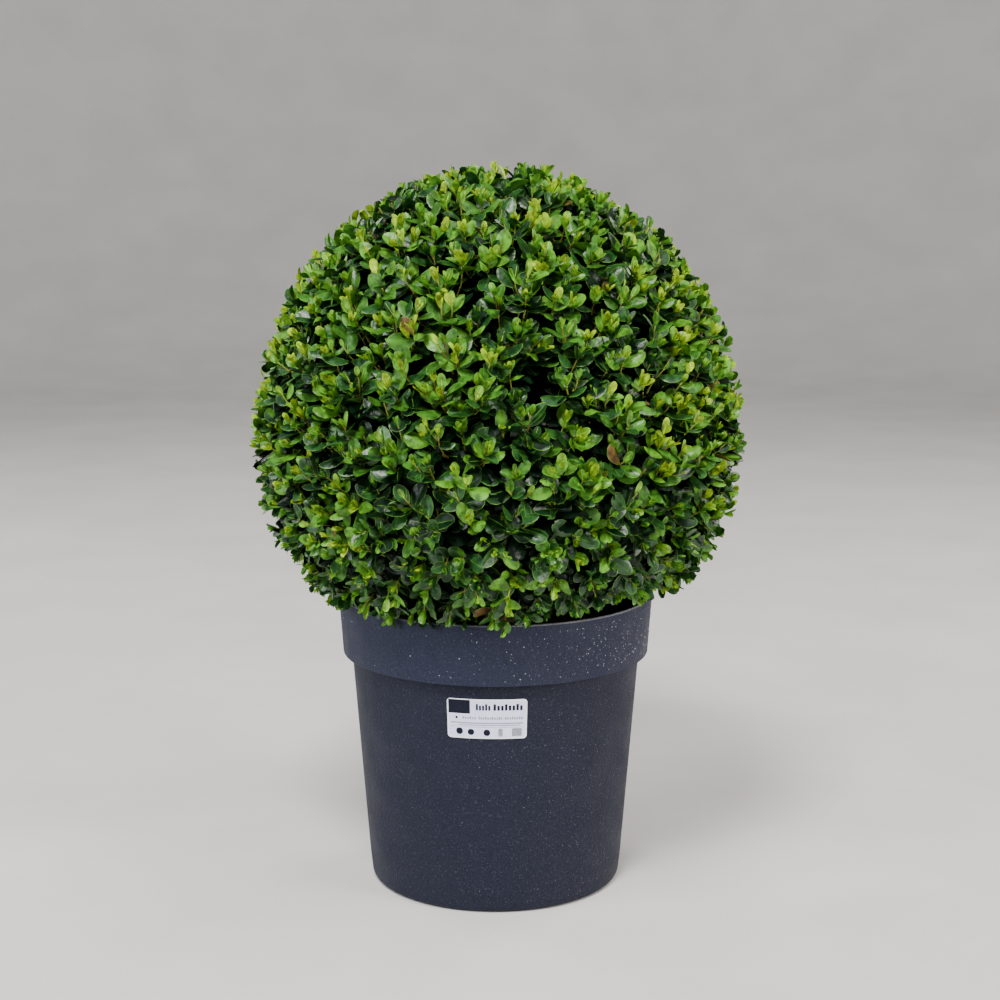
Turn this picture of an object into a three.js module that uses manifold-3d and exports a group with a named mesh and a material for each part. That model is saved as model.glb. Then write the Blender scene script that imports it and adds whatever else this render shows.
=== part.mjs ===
// Box topiary ball in its ledged plastic pot: one clipped ball of foliage on a short stem in potting soil.
// Millimetres, +Z up. The origin is the middle of the pot's flat underside, and the label faces -Y.
import * as THREE from "three";
import { mergeVertices } from "three/addons/utils/BufferGeometryUtils.js";
import Module from "manifold-3d";

const wasm = await Module();
wasm.setup();

// The pot: a tapered body with a wider rim band, which stands out over it as a ledge.
const POT_HEIGHT = 234;
const RIM_RADIUS = 125;
const BAND_HEIGHT = 48;
const BAND_FOOT_RADIUS = 121.8;
const BODY_TOP_RADIUS = 114.8;
const FOOT_RADIUS = 100.3;
const POT_WALL = 3;
const POT_FLOOR = 4;
const FOOT_ROUNDING = 6;
const LEDGE_ROUNDING = 1.4;
const POT_SEGMENTS = 72;
const DRAIN_HOLES = 6;
const DRAIN_RADIUS = 6;
const DRAIN_CIRCLE_RADIUS = 62;

// The soil fills the pot to a finger's width or so under the rim, and is level round the stem.
const SOIL_DEPTH_BELOW_RIM = 24;
const SOIL_ROUGHNESS = 2.2;
const SOIL_SEGMENTS = 36;
const GAP = 0.3;
const WELD = 1e-3;

// The stem: flared at the soil, a little off plumb, up to the mouth of the pot.
const STEM_TIP_Z = 238;
const STEM_FOOT_RADIUS = 17;
const STEM_TIP_RADIUS = 9;
const STEM_LEAN = 2;
const STEM_FLARE_LOBES = 5;
const STEM_SIDES = 15;

// The ball of foliage: an upright ovoid, cut level just over the pot's rim.
const BALL_CENTRE = new THREE.Vector3(2, 0, 363);
const BALL_RADIUS = 190.5;
const BALL_RISE = 206.6;
const BALL_DROP = 194.5;
const BALL_UNDERSIDE_Z = 244;
const CORE_SHARE = 0.8;
const CORE_DROP_SHARE = 0.95;
const CORE_LUMPS = 0.022;
const CORE_DETAIL = 4;
const TIP_SHARE = 1.02;
const RIM_CLEARANCE = 2.5;
const MOUTH_CLEARANCE = 9;

// The growth rule: stem, boughs, branches and twigs, each level spread evenly over the ovoid.
const SEED = 20;
const FORK_Z = 285;
const BOUGHS = { count: 9, reach: 0.42 };
const BRANCHES = { count: 40, reach: 0.66 };
const TWIGS = { count: 132, reach: 0.895 };
const TWIG_ROOT_RADIUS = 2.6;
const TWIG_TIP_RADIUS = 1.4;
const TWIG_SIDES = 3;
const LIFT = 0.3;

// A leaf: eight faces round a flat outline, its root sunk in the twig. Pairs stand crosswise up the twig.
const LEAF_LENGTH = 34;
const LEAF_WIDTH = 21;
const LEAF_THICKNESS = 2.4;
const LEAF_WIDEST = 0.58;
const LEAF_ROOT_DEPTH = 1.2;
const LEAF_ROOT_OFFSET = 0.9;
const LEAF_ROLL = 40;
const LEAF_ROOM = 8;
const LEAF_PAIRS = [
  { along: 1.0, spread: 36, size: 0.88 },
  { along: 0.78, spread: 66, size: 1.1 },
];

// The label: a thin plate with round corners, bent round the front of the pot.
const LABEL_WIDTH = 60.3;
const LABEL_HEIGHT = 31.1;
const LABEL_MIDDLE_Z = 159.2;
const LABEL_TURN = -3.3;
const LABEL_THICKNESS = 0.5;
const LABEL_CORNER = 2.6;
const LABEL_COLUMNS = 16;
const LABEL_CORNER_STEPS = 3;

const degrees = THREE.MathUtils.degToRad;
const LEDGE_Z = POT_HEIGHT - BAND_HEIGHT;
const SOIL_TOP_Z = POT_HEIGHT - SOIL_DEPTH_BELOW_RIM;

// A seeded draw from 0 to 1, the same on every run.
function seededDraw(seed) {
  let state = seed >>> 0;
  return () => {
    state = (state + 0x6d2b79f5) >>> 0;
    let mixed = Math.imul(state ^ (state >>> 15), state | 1);
    mixed ^= mixed + Math.imul(mixed ^ (mixed >>> 7), mixed | 61);
    return ((mixed ^ (mixed >>> 14)) >>> 0) / 2 ** 32;
  };
}

function bodyRadius(z) {
  return THREE.MathUtils.mapLinear(z, 0, LEDGE_Z, FOOT_RADIUS, BODY_TOP_RADIUS);
}

function bandRadius(z) {
  return THREE.MathUtils.mapLinear(z, LEDGE_Z, POT_HEIGHT, BAND_FOOT_RADIUS, RIM_RADIUS);
}

// A bare geometry: positions only, with shared corners merged, as a closed solid needs.
function welded(geometry) {
  const bare = geometry.clone();
  bare.deleteAttribute("normal");
  bare.deleteAttribute("uv");
  return mergeVertices(bare, WELD);
}

function solidOf(geometry) {
  const shape = welded(geometry);
  return new wasm.Manifold(
    new wasm.Mesh({
      numProp: 3,
      vertProperties: new Float32Array(shape.getAttribute("position").array),
      triVerts: new Uint32Array(shape.index.array),
    }),
  );
}

function geometryOf(positions, triangles) {
  const geometry = new THREE.BufferGeometry();
  geometry.setAttribute("position", new THREE.Float32BufferAttribute(positions, 3));
  geometry.setIndex([...triangles]);
  return geometry;
}

// Joins a list of solids two by two, so that no step works on more than it needs.
function fuse(solids) {
  if (solids.length === 1) return solids[0];
  const half = Math.ceil(solids.length / 2);
  return fuse(solids.slice(0, half)).add(fuse(solids.slice(half)));
}

// The largest connected shell of a fused solid: a sealed hollow is filled and a loose scrap is dropped.
// Corners that all but touch are welded first, because that can close a hollow off.
function mainShell(solid) {
  const fused = solid.getMesh();
  const mesh = solidOf(geometryOf(fused.vertProperties, fused.triVerts)).getMesh();
  const triangles = mesh.triVerts;
  const owner = Array.from({ length: mesh.vertProperties.length / 3 }, (_, i) => i);
  const find = (i) => {
    while (owner[i] !== i) {
      owner[i] = owner[owner[i]];
      i = owner[i];
    }
    return i;
  };
  for (let t = 0; t < triangles.length; t += 3) {
    owner[find(triangles[t])] = find(triangles[t + 1]);
    owner[find(triangles[t + 1])] = find(triangles[t + 2]);
  }
  const sizes = new Map();
  for (let t = 0; t < triangles.length; t += 3) {
    const shell = find(triangles[t]);
    sizes.set(shell, (sizes.get(shell) ?? 0) + 1);
  }
  const largest = [...sizes].sort((a, b) => b[1] - a[1])[0][0];
  const kept = [];
  for (let t = 0; t < triangles.length; t += 3) {
    if (find(triangles[t]) === largest) kept.push(...triangles.slice(t, t + 3));
  }
  return geometryOf(mesh.vertProperties, kept);
}

// A solid of revolution about Z from a closed profile of [radius, height] points.
function turned(profile, segments) {
  const points = profile.map(([radius, height]) => new THREE.Vector2(radius, height));
  return new THREE.LatheGeometry(points, segments).rotateX(Math.PI / 2);
}

// Points of a quarter round from one angle to another, in degrees, about a centre.
function arc(radius, height, size, from, to, steps) {
  return Array.from({ length: steps + 1 }, (_, i) => {
    const angle = degrees(THREE.MathUtils.lerp(from, to, i / steps));
    return [radius + size * Math.cos(angle), height + size * Math.sin(angle)];
  });
}

function potGeometry() {
  const lip = POT_WALL / 2;
  const insideFloor = bodyRadius(POT_FLOOR) - POT_WALL;
  const shell = turned(
    [
      [0, 0],
      ...arc(FOOT_RADIUS - FOOT_ROUNDING, FOOT_ROUNDING, FOOT_ROUNDING, -90, 0, 3),
      [BODY_TOP_RADIUS, LEDGE_Z],
      ...arc(BAND_FOOT_RADIUS - LEDGE_ROUNDING, LEDGE_Z + LEDGE_ROUNDING, LEDGE_ROUNDING, -90, 0, 2),
      ...arc(RIM_RADIUS - lip, POT_HEIGHT - lip, lip, 0, 180, 4),
      [BAND_FOOT_RADIUS - POT_WALL, LEDGE_Z + POT_WALL],
      [BODY_TOP_RADIUS - POT_WALL, LEDGE_Z + POT_WALL],
      [insideFloor, POT_FLOOR],
      [0, POT_FLOOR],
    ],
    POT_SEGMENTS,
  );
  const drains = Array.from({ length: DRAIN_HOLES }, (_, i) => {
    const angle = (i * 2 * Math.PI) / DRAIN_HOLES;
    return solidOf(
      new THREE.CylinderGeometry(DRAIN_RADIUS, DRAIN_RADIUS, 3 * POT_FLOOR, 16)
        .rotateX(Math.PI / 2)
        .translate(DRAIN_CIRCLE_RADIUS * Math.cos(angle), DRAIN_CIRCLE_RADIUS * Math.sin(angle), 0),
    );
  });
  return mainShell(solidOf(shell).subtract(fuse(drains)));
}

function soilGeometry() {
  const clear = POT_WALL + GAP + 0.1;
  const shoulderZ = LEDGE_Z + POT_WALL + GAP;
  const bottomZ = POT_FLOOR + GAP;
  const edge = bandRadius(SOIL_TOP_Z) - clear;
  const ringShares = [0.9, 0.72, 0.54, 0.36];
  const soil = welded(
    turned(
      [
        [0, bottomZ],
        [bodyRadius(bottomZ) - clear, bottomZ],
        [bodyRadius(shoulderZ) - clear, shoulderZ],
        [bandRadius(shoulderZ) - clear, shoulderZ],
        [edge, SOIL_TOP_Z - SOIL_ROUGHNESS],
        ...ringShares.map((share) => [edge * share, SOIL_TOP_Z]),
        [STEM_FOOT_RADIUS * 1.3, SOIL_TOP_Z],
        [0, SOIL_TOP_Z],
      ],
      SOIL_SEGMENTS,
    ),
  );
  const draw = seededDraw(SEED);
  const place = soil.getAttribute("position");
  for (let i = 0; i < place.count; i += 1) {
    const radius = Math.hypot(place.getX(i), place.getY(i));
    const onTop = place.getZ(i) > SOIL_TOP_Z - 1e-3 && radius > STEM_FOOT_RADIUS * 1.5;
    if (onTop) place.setZ(i, SOIL_TOP_Z - SOIL_ROUGHNESS * draw());
  }
  return soil;
}

// Rings of points one over the other, closed by a fan at each end.
function loft(rings) {
  const sides = rings[0].length;
  const positions = rings.flat().flatMap((p) => [p.x, p.y, p.z]);
  const triangles = [];
  for (let ring = 0; ring < rings.length - 1; ring += 1) {
    for (let side = 0; side < sides; side += 1) {
      const a = ring * sides + side;
      const b = ring * sides + ((side + 1) % sides);
      triangles.push(a, b, b + sides, a, b + sides, a + sides);
    }
  }
  const top = (rings.length - 1) * sides;
  for (let side = 1; side < sides - 1; side += 1) {
    triangles.push(0, side + 1, side, top, top + side, top + side + 1);
  }
  return geometryOf(positions, triangles);
}

// The stem's radius falls quickly over the flare and then slowly, and its foot has a few lobes.
function stemGeometry() {
  const footZ = SOIL_TOP_Z + GAP;
  const shares = [0, 0.1, 0.25, 0.5, 0.75, 1];
  return loft(
    shares.map((share) => {
      const flare = Math.exp(-5 * share);
      const radius = THREE.MathUtils.lerp(STEM_TIP_RADIUS, STEM_FOOT_RADIUS, flare);
      return Array.from({ length: STEM_SIDES }, (_, side) => {
        const angle = (side * 2 * Math.PI) / STEM_SIDES;
        const lobed = radius * (1 + 0.14 * flare * Math.cos(STEM_FLARE_LOBES * angle));
        return new THREE.Vector3(
          STEM_LEAN * share + lobed * Math.cos(angle),
          lobed * Math.sin(angle),
          THREE.MathUtils.lerp(footZ, STEM_TIP_Z, share),
        );
      });
    }),
  );
}

// The point of the ball's outline, or of a smaller ovoid inside it, in one direction from the centre.
function onBall(direction, share) {
  const height = direction.z > 0 ? BALL_RISE : BALL_DROP;
  return new THREE.Vector3(
    direction.x * BALL_RADIUS * share,
    direction.y * BALL_RADIUS * share,
    direction.z * height * share,
  ).add(BALL_CENTRE);
}

function shareOfBall(point) {
  const from = point.clone().sub(BALL_CENTRE);
  const height = from.z > 0 ? BALL_RISE : BALL_DROP;
  return Math.hypot(from.x / BALL_RADIUS, from.y / BALL_RADIUS, from.z / height);
}

// Evenly spread directions on a sphere, each a golden angle on from the last.
function evenDirections(count) {
  const golden = Math.PI * (3 - Math.sqrt(5));
  return Array.from({ length: count }, (_, i) => {
    const z = 1 - (2 * i + 1) / count;
    const ring = Math.sqrt(1 - z * z);
    return new THREE.Vector3(ring * Math.cos(i * golden), ring * Math.sin(i * golden), z);
  });
}

// The foliage keeps above the rim, and a little lower both inside the mouth and outside the rim.
function lowestZ(point) {
  const radius = Math.hypot(point.x, point.y);
  const overRim = radius > RIM_RADIUS - POT_WALL - 4 && radius < RIM_RADIUS + RIM_CLEARANCE;
  return overRim ? POT_HEIGHT + RIM_CLEARANCE : POT_HEIGHT - (radius < RIM_RADIUS ? 0 : 2 * RIM_CLEARANCE);
}

function inBallSpace(point) {
  const nearStem = Math.hypot(point.x, point.y) < STEM_FOOT_RADIUS && point.z < STEM_TIP_Z + MOUTH_CLEARANCE;
  return shareOfBall(point) <= TIP_SHARE && point.z >= lowestZ(point) && !nearStem;
}

function nearestTip(limbs, point) {
  return limbs.reduce((best, limb) =>
    limb.tip.distanceToSquared(point) < best.tip.distanceToSquared(point) ? limb : best,
  ).tip;
}

// One level of limbs: each grows from the nearest tip of the level before it to its own place.
function growLevel(level, parents, draw) {
  return evenDirections(level.count).map((direction) => {
    const spread = (4 / Math.sqrt(level.count)) * 0.22;
    const aim = new THREE.Vector3(draw() - 0.5, draw() - 0.5, draw() - 0.5).multiplyScalar(spread);
    const tip = onBall(aim.add(direction).normalize(), level.reach);
    tip.z = Math.max(tip.z, BALL_UNDERSIDE_Z + 5);
    return { root: nearestTip(parents, tip), tip };
  });
}

// A twig is a tapering prism from the branch that bears it to its tip.
function twigGeometry(root, tip) {
  const axis = tip.clone().sub(root).normalize();
  const across = new THREE.Vector3(0, 0, 1).cross(axis).normalize();
  const over = axis.clone().cross(across);
  const ringAt = (centre, radius) =>
    Array.from({ length: TWIG_SIDES }, (_, side) => {
      const angle = (side * 2 * Math.PI) / TWIG_SIDES;
      return centre
        .clone()
        .addScaledVector(across, radius * Math.cos(angle))
        .addScaledVector(over, radius * Math.sin(angle));
    });
  return loft([ringAt(root, TWIG_ROOT_RADIUS), ringAt(tip, TWIG_TIP_RADIUS)]);
}

// The six corners of a leaf: root, tip, two sides, and the crowns of its upper and under faces.
function leafCorners(root, along, across, size) {
  const face = along.clone().cross(across).normalize();
  const length = LEAF_LENGTH * size;
  const middle = root.clone().addScaledVector(along, length * LEAF_WIDEST);
  const halfWidth = (LEAF_WIDTH * size) / 2;
  return [
    root.clone().addScaledVector(along, -LEAF_ROOT_DEPTH),
    root.clone().addScaledVector(along, length),
    middle.clone().addScaledVector(across, halfWidth),
    middle.clone().addScaledVector(across, -halfWidth),
    middle.clone().addScaledVector(face, LEAF_THICKNESS / 2),
    middle.clone().addScaledVector(face, -LEAF_THICKNESS / 2),
  ];
}

function leafGeometry(corners) {
  const [ROOT, TIP, LEFT, RIGHT, UPPER, UNDER] = [0, 1, 2, 3, 4, 5];
  const triangles = [
    [ROOT, UPPER, LEFT], [LEFT, UPPER, TIP], [TIP, UPPER, RIGHT], [RIGHT, UPPER, ROOT],
    [ROOT, LEFT, UNDER], [LEFT, TIP, UNDER], [TIP, RIGHT, UNDER], [RIGHT, ROOT, UNDER],
  ];
  return geometryOf(corners.flatMap((p) => [p.x, p.y, p.z]), triangles.flat());
}

// Whether a leaf has room: in the ball's own space, outside the core and clear of the leaves before it.
function hasRoom(corners, taken) {
  const [, tip, left, right, upper] = corners;
  const middles = [tip, upper, tip.clone().lerp(upper, 0.5)];
  const open = corners.slice(1).every(inBallSpace) && middles.every((point) => shareOfBall(point) > CORE_SHARE);
  const crowded = taken.some((other) => middles.some((point) => point.distanceTo(other) < LEAF_ROOM));
  if (!open || crowded) return false;
  taken.push(...middles, left, right);
  return true;
}

// The leaves of one twig: crosswise pairs that lift towards the light.
function leavesOf(twig, taken, draw) {
  const axis = twig.tip.clone().sub(BALL_CENTRE).normalize();
  axis.z += LIFT;
  axis.normalize();
  const side = new THREE.Vector3(draw() - 0.5, draw() - 0.5, draw() - 0.5).cross(axis).normalize();
  const leaves = [];
  LEAF_PAIRS.forEach((pair, level) => {
    const turn = (level * Math.PI) / 2 + (draw() - 0.5) * 0.5;
    for (const half of [0, Math.PI]) {
      const out = side.clone().applyAxisAngle(axis, turn + half);
      const spread = degrees(pair.spread + (draw() - 0.5) * 16);
      const along = axis.clone().multiplyScalar(Math.cos(spread)).addScaledVector(out, Math.sin(spread));
      const roll = degrees((draw() - 0.5) * LEAF_ROLL);
      const across = axis.clone().cross(out).normalize().applyAxisAngle(along.normalize(), roll);
      const root = twig.root.clone().lerp(twig.tip, pair.along).addScaledVector(out, LEAF_ROOT_OFFSET);
      const corners = leafCorners(root, along, across, pair.size * (0.9 + 0.2 * draw()));
      if (hasRoom(corners, taken)) leaves.push(leafGeometry(corners));
    }
  });
  return leaves;
}

// The dense middle of the clipped ball: a lumpy ovoid with a level underside.
function coreGeometry(draw) {
  const core = welded(new THREE.IcosahedronGeometry(1, CORE_DETAIL));
  const place = core.getAttribute("position");
  const waves = Array.from({ length: 5 }, () => new THREE.Vector3(draw() - 0.5, draw() - 0.5, draw() - 0.5));
  for (let i = 0; i < place.count; i += 1) {
    const direction = new THREE.Vector3().fromBufferAttribute(place, i).normalize();
    const lump = waves.reduce((sum, wave, k) => sum + Math.sin(direction.dot(wave) * 14 + 2 * k), 0) / 5;
    const point = onBall(direction, CORE_SHARE * (1 + CORE_LUMPS * lump));
    const lower = BALL_CENTRE.z + direction.z * BALL_DROP * CORE_DROP_SHARE;
    const height = direction.z > 0 ? point.z : Math.max(lower, BALL_UNDERSIDE_Z);
    place.setXYZ(i, point.x, point.y, height);
  }
  return core;
}

// The mass of foliage: its own stem end, the core, and the twigs with their leaves, fused to one solid.
function foliageGeometry() {
  const draw = seededDraw(SEED);
  const fork = new THREE.Vector3(STEM_LEAN, 0, FORK_Z);
  const stemEnd = new THREE.CylinderGeometry(STEM_TIP_RADIUS - 1, STEM_TIP_RADIUS - 1, FORK_Z - STEM_TIP_Z - GAP, 8)
    .rotateX(Math.PI / 2)
    .translate(STEM_LEAN, 0, (FORK_Z + STEM_TIP_Z + GAP) / 2);
  const boughs = growLevel(BOUGHS, [{ tip: fork }], draw);
  const branches = growLevel(BRANCHES, boughs, draw);
  const twigs = growLevel(TWIGS, branches, draw).filter((twig) => shareOfBall(twig.tip) > CORE_SHARE);
  const solids = [solidOf(coreGeometry(draw)), solidOf(stemEnd)];
  const taken = [];
  for (const twig of twigs) {
    const leaves = leavesOf(twig, taken, draw);
    solids.push(fuse([twigGeometry(twig.root, twig.tip), ...leaves].map(solidOf)));
  }
  return mainShell(fuse(solids));
}

// The label's outline is a row of columns, shorter towards its ends where the corners are round.
function labelColumns() {
  const straight = LABEL_WIDTH / 2 - LABEL_CORNER;
  const corner = Array.from({ length: LABEL_CORNER_STEPS + 1 }, (_, i) => {
    const angle = (i / LABEL_CORNER_STEPS) * (Math.PI / 2);
    return {
      across: -straight - LABEL_CORNER * Math.cos(angle),
      half: LABEL_HEIGHT / 2 - LABEL_CORNER * (1 - Math.sin(angle)),
    };
  });
  const middle = Array.from({ length: LABEL_COLUMNS - 1 }, (_, i) => ({
    across: THREE.MathUtils.lerp(-straight, straight, (i + 1) / LABEL_COLUMNS),
    half: LABEL_HEIGHT / 2,
  }));
  const mirrored = corner.map(({ across, half }) => ({ across: -across, half })).reverse();
  return [...corner, ...middle, ...mirrored];
}

function labelGeometry() {
  const turn = degrees(LABEL_TURN - 90);
  const onPot = (across, z, out) => {
    const angle = turn + across / bodyRadius(LABEL_MIDDLE_Z);
    const radius = bodyRadius(z) + GAP + out;
    return new THREE.Vector3(radius * Math.cos(angle), radius * Math.sin(angle), z);
  };
  return loft(
    labelColumns().map(({ across, half }) => [
      onPot(across, LABEL_MIDDLE_Z - half, 0),
      onPot(across, LABEL_MIDDLE_Z + half, 0),
      onPot(across, LABEL_MIDDLE_Z + half, LABEL_THICKNESS),
      onPot(across, LABEL_MIDDLE_Z - half, LABEL_THICKNESS),
    ]),
  );
}

function part(name, geometry, color, roughness) {
  const mesh = new THREE.Mesh(geometry, new THREE.MeshStandardMaterial({ color, roughness, metalness: 0 }));
  mesh.name = name;
  return mesh;
}

const topiary = new THREE.Group();
topiary.add(
  part("pot", potGeometry(), 0x3c3f4a, 0.5),
  part("potting_soil", soilGeometry(), 0x2b2019, 0.95),
  part("main_stem", stemGeometry(), 0x7c6a4c, 0.85),
  part("foliage_ball", foliageGeometry(), 0x3f7426, 0.45),
  part("blank_label", labelGeometry(), 0xe9e9f0, 0.4),
);

export default topiary;
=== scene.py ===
# %% [markdown]
# # A box topiary ball in its pot
# The real thing is a dense evergreen shrub, clipped to a ball, that grows on a short stem in a dark
# plastic pot. The solids of the pot, the soil, the stem and the ball are already measured and packed.
# This lesson dresses them: each piece is made in the same frame, in metres, so nothing is fitted later.

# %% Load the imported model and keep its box
import math
import bpy
import bmesh
import numpy as np
from mathutils import Matrix, Vector, noise


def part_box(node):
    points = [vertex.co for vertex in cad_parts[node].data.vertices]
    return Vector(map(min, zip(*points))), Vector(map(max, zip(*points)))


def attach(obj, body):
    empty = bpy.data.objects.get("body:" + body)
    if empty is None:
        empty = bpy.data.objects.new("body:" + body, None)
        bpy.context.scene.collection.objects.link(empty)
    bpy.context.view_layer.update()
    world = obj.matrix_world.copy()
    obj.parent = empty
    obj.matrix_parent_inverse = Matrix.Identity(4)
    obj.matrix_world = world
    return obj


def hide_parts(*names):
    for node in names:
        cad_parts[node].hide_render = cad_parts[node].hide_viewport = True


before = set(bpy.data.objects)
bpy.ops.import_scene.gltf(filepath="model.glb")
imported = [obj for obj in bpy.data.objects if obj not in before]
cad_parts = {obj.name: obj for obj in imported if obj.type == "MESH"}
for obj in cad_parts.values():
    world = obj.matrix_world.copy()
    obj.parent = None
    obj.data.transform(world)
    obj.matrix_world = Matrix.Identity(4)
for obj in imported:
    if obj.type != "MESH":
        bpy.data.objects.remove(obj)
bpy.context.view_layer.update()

# %% [markdown]
# ## The camera
# The photograph looks down a little on the pot from a step away. A camera could be aimed with a
# constraint, but plain numbers say more: its height, its distance from the pot's axis, how far it
# tips down, and a lens that spans the picture. The tiny shift puts the pot just left of the middle.

# %% Camera at the photograph's viewing angle
CAMERA_DISTANCE = 1.562
CAMERA_HEIGHT = 0.585
CAMERA_TIP_DOWN = 10.12
LENS = 72.0
SENSOR = 36.0
POT_AXIS_SHIFT = 0.0045

camera_data = bpy.data.cameras.new("camera")
camera_data.lens = LENS
camera_data.sensor_width = SENSOR
camera_data.shift_x = POT_AXIS_SHIFT
camera = bpy.data.objects.new("camera", camera_data)
camera.location = (0.0, -CAMERA_DISTANCE, CAMERA_HEIGHT)
camera.rotation_euler = (math.radians(90.0 - CAMERA_TIP_DOWN), 0.0, 0.0)
bpy.context.collection.objects.link(camera)
bpy.context.scene.camera = camera
print("camera looks down %.1f degrees" % CAMERA_TIP_DOWN)

# %% [markdown]
# ## Small helpers
# A piece ends as a plain mesh at the origin. These helpers make an object from arrays of points and
# faces, and turn the result of a Geometry Nodes tree into such a mesh, with the modifier gone.

# %% Helpers that make meshes and node trees
def in_scene(name, data):
    made = bpy.data.objects.new(name, data)
    bpy.context.collection.objects.link(made)
    return made


def mesh_object(name, points, faces, material=None, edges=()):
    mesh = bpy.data.meshes.new(name)
    mesh.from_pydata([tuple(p) for p in points], edges, [tuple(f) for f in faces])
    mesh.update()
    mesh.shade_smooth()
    if material is not None:
        mesh.materials.append(material)
    return in_scene(name, mesh)


def evaluated_mesh(holder):
    """A new mesh with what an object's modifiers make of it."""
    graph = bpy.context.evaluated_depsgraph_get()
    return bpy.data.meshes.new_from_object(holder.evaluated_get(graph))


def apply_modifiers(holder):
    old = holder.data
    made = evaluated_mesh(holder)
    holder.modifiers.clear()
    holder.data = made
    bpy.data.meshes.remove(old)


def add_node(tree, kind, inputs=None, **settings):
    """A node. Each input takes a plain value, an output, or a node, which stands for its first output."""
    node = tree.nodes.new(kind)
    for key, value in settings.items():
        setattr(node, key, value)
    for key, value in (inputs or {}).items():
        if isinstance(value, bpy.types.Node):
            value = value.outputs[0]
        if isinstance(value, bpy.types.NodeSocket):
            tree.links.new(value, node.inputs[key])
        else:
            node.inputs[key].default_value = value
    return node


def new_tree(name, inputs):
    """A Geometry Nodes tree, and what its inputs give: a geometry, a material and the named ones."""
    tree = bpy.data.node_groups.new(name, "GeometryNodeTree")
    for label, kind in [("Geometry", "Geometry"), *inputs, ("Material", "Material")]:
        tree.interface.new_socket(label, in_out="INPUT", socket_type="NodeSocket" + kind)
    tree.interface.new_socket("Geometry", in_out="OUTPUT", socket_type="NodeSocketGeometry")
    return tree, tree.nodes.new("NodeGroupInput").outputs


def end_tree(tree, given, geometry):
    """Every tree ends the same way: instances made real, smooth faces and one material."""
    real = add_node(tree, "GeometryNodeRealizeInstances", {"Geometry": geometry})
    smooth = add_node(tree, "GeometryNodeSetShadeSmooth", {"Geometry": real})
    paint = add_node(tree, "GeometryNodeSetMaterial", {"Geometry": smooth, "Material": given["Material"]})
    add_node(tree, "NodeGroupOutput", {"Geometry": paint})


def named(tree, name, kind="FLOAT"):
    """The value that an attribute holds on each point."""
    node = add_node(tree, "GeometryNodeInputNamedAttribute", {"Name": name}, data_type=kind)
    return node.outputs["Attribute"]


def grown_mesh(name, holder, tree, inputs):
    """Runs a node tree on holder and keeps what it makes as one plain mesh object."""
    modifier = holder.modifiers.new("nodes", "NODES")
    modifier.node_group = tree
    sockets = {item.name: item.identifier for item in tree.interface.items_tree if item.in_out == "INPUT"}
    for key, value in inputs.items():
        modifier[sockets[key]] = value
    mesh = evaluated_mesh(holder)
    mesh.name = name
    bpy.data.objects.remove(holder)
    return in_scene(name, mesh)


print("helpers ready")

# %% [markdown]
# ## How a material is built
# Every finish here is one Principled shader. Its plain values are set on the shader itself, and
# noise on Object coordinates varies the colour and the bump, so a pattern stays on the surface
# from every side.

# %% Helpers that make materials
EVEN = (1.0, 1.0, 1.0)


def finish(name, color, roughness, **more):
    """A Principled material. Extra values are set by the socket's own name, with _ for a space."""
    material = bpy.data.materials.new(name)
    material.use_nodes = True
    shader = material.node_tree.nodes["Principled BSDF"]
    shader.inputs["Base Color"].default_value = (*color, 1.0)
    shader.inputs["Roughness"].default_value = roughness
    for key, value in more.items():
        shader.inputs[key.replace("_", " ")].default_value = value
    return material


def grain(material, scale, detail, stretch):
    """Noise on Object coordinates, at so many grains to the metre."""
    tree = material.node_tree
    place = add_node(tree, "ShaderNodeTexCoord").outputs["Object"]
    stretched = add_node(tree, "ShaderNodeMapping", {"Vector": place, "Scale": stretch})
    return add_node(tree, "ShaderNodeTexNoise", {"Vector": stretched, "Scale": scale, "Detail": detail})


def feed(material, key, node):
    shader = material.node_tree.nodes["Principled BSDF"]
    material.node_tree.links.new(node.outputs[0], shader.inputs[key])


def vary(material, key, scale, detail, stops, stretch=EVEN):
    """Varies one of the shader's values over a grain. stops: (place, colour) pairs."""
    cloud = grain(material, scale, detail, stretch)
    blend = add_node(material.node_tree, "ShaderNodeValToRGB", {"Fac": cloud})
    while len(blend.color_ramp.elements) < len(stops):
        blend.color_ramp.elements.new(0.5)
    for element, (place, color) in zip(blend.color_ramp.elements, stops):
        element.position = place
        element.color = (*color, 1.0)
    feed(material, key, blend)


def bump(material, scale, detail, distance, strength, stretch=EVEN, below=None):
    """Adds a bump from a grain, over an earlier bump if one is given."""
    inputs = {"Height": grain(material, scale, detail, stretch), "Distance": distance, "Strength": strength}
    if below is not None:
        inputs["Normal"] = below
    node = add_node(material.node_tree, "ShaderNodeBump", inputs)
    feed(material, "Normal", node)
    return node


print("material helpers ready")

# %% [markdown]
# ## The pot
# The real pot is injection moulded: a tapered body, a wider rim band with a ledge under it, and
# drain holes in the floor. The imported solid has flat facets, so the same profile is turned again
# with many more steps, small roundings at the lip, the ledge and the foot, and it replaces the solid.

# %% Sizes of the pot, read from the frame
pot_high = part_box("pot")[1]
POT_HEIGHT = pot_high.z
RIM_RADIUS = pot_high.x
BAND_HEIGHT = 0.048
LEDGE_Z = POT_HEIGHT - BAND_HEIGHT
BAND_FOOT_RADIUS = RIM_RADIUS - 0.0032
BODY_TOP_RADIUS = RIM_RADIUS - 0.0102
FOOT_RADIUS = RIM_RADIUS - 0.0247
FOOT_ROUNDING = 0.006
WALL = 0.003
FLOOR = 0.004
print("pot %.0f mm high, rim %.0f mm across" % (POT_HEIGHT * 1000, RIM_RADIUS * 2000))


def body_radius(z):
    return FOOT_RADIUS + (BODY_TOP_RADIUS - FOOT_RADIUS) * z / LEDGE_Z


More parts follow.
